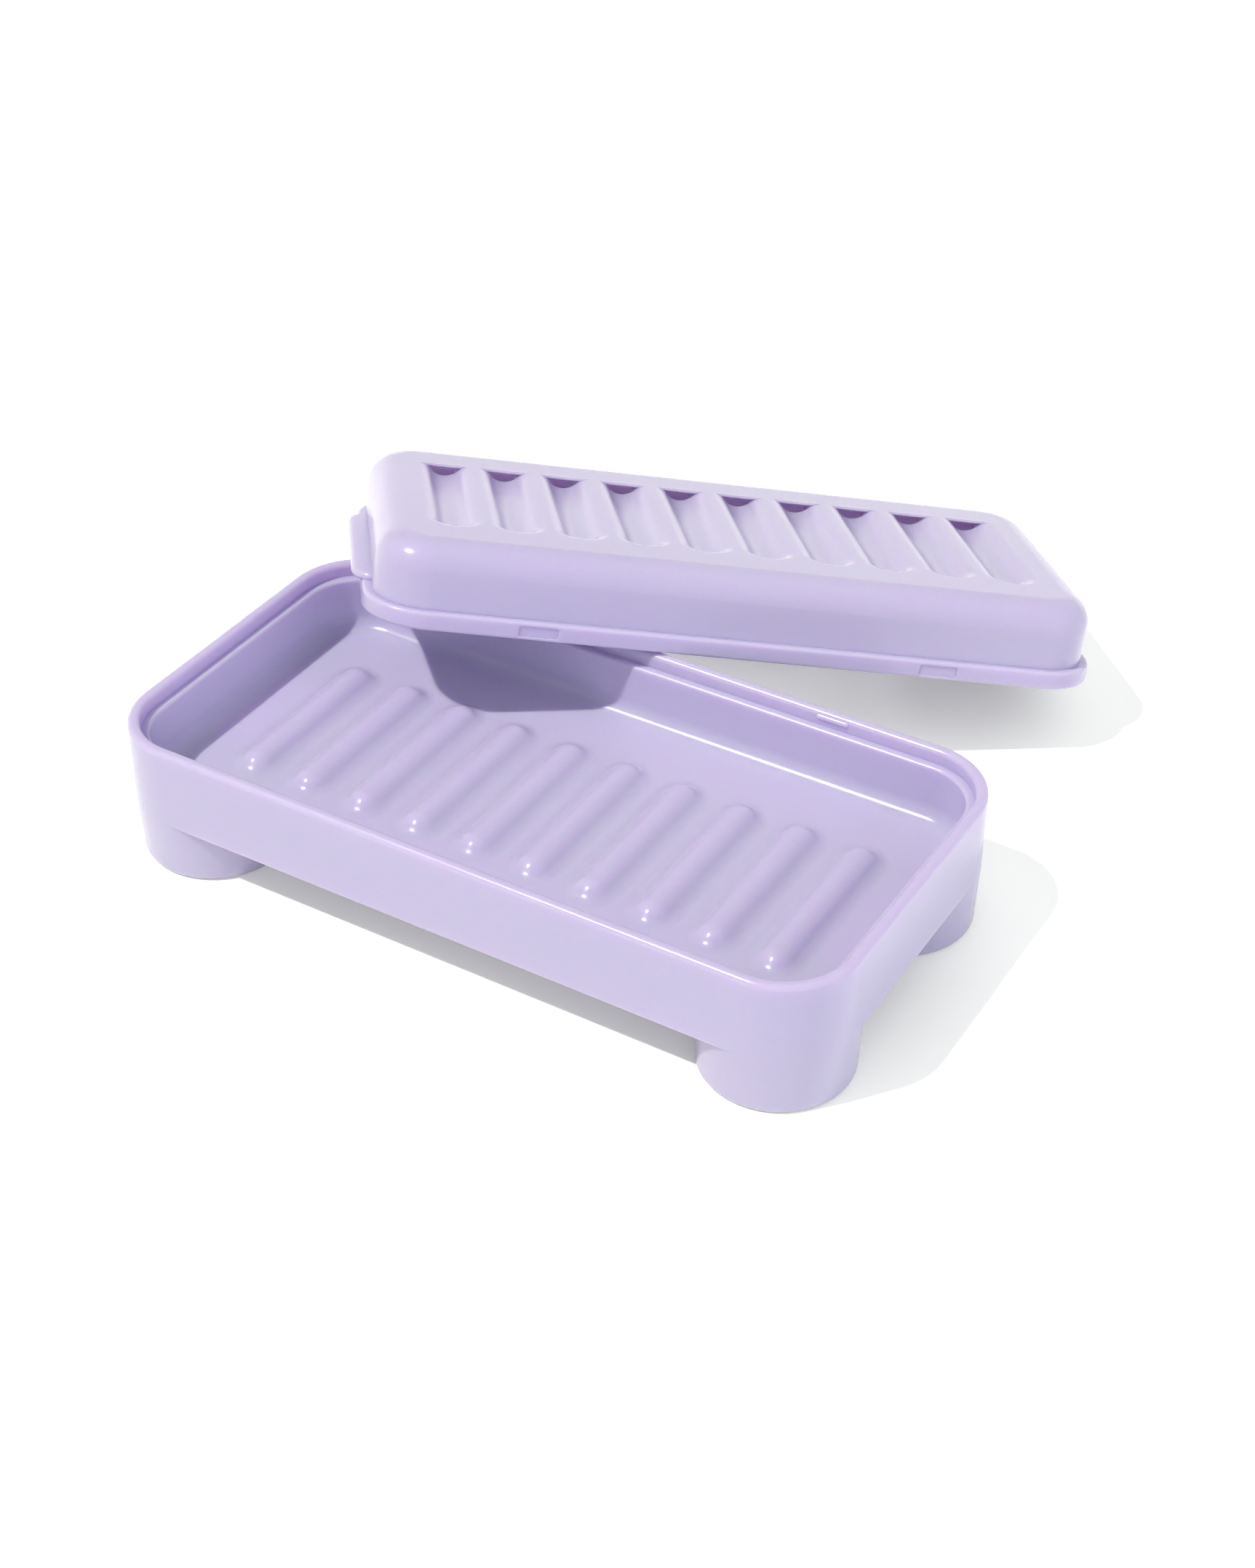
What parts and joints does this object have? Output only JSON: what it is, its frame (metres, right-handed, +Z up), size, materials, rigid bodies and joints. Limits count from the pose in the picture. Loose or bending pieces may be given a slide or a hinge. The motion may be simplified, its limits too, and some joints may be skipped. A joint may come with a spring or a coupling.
{
  "type": "travel soap box",
  "caption": "Oblong travel soap box: footed tray with a ribbed floor and stepped rim, and a loose lid with vented cross troughs and a finger tab, which snaps in; here it leans on the rim.",
  "frame": {"origin": "on the table, at the middle of the tray's pattern of feet", "axes": "+X along the tray, +Y across it towards the leaning lid, +Z up"},
  "size_m": [0.1563, 0.1763, 0.0514],
  "materials": {
    "lilac_plastic": "moulded polypropylene, satin gloss, pale lilac"
  },
  "bodies": {
    "tray": {"tray": "lilac_plastic"},
    "lid": {"lid": "lilac_plastic"}
  },
  "joints": [
    {"name": "lid_lift", "type": "slide", "parent": "tray", "child": "lid", "axis": [0, 0, 1], "range_m": [0, 0.05]}
  ]
}
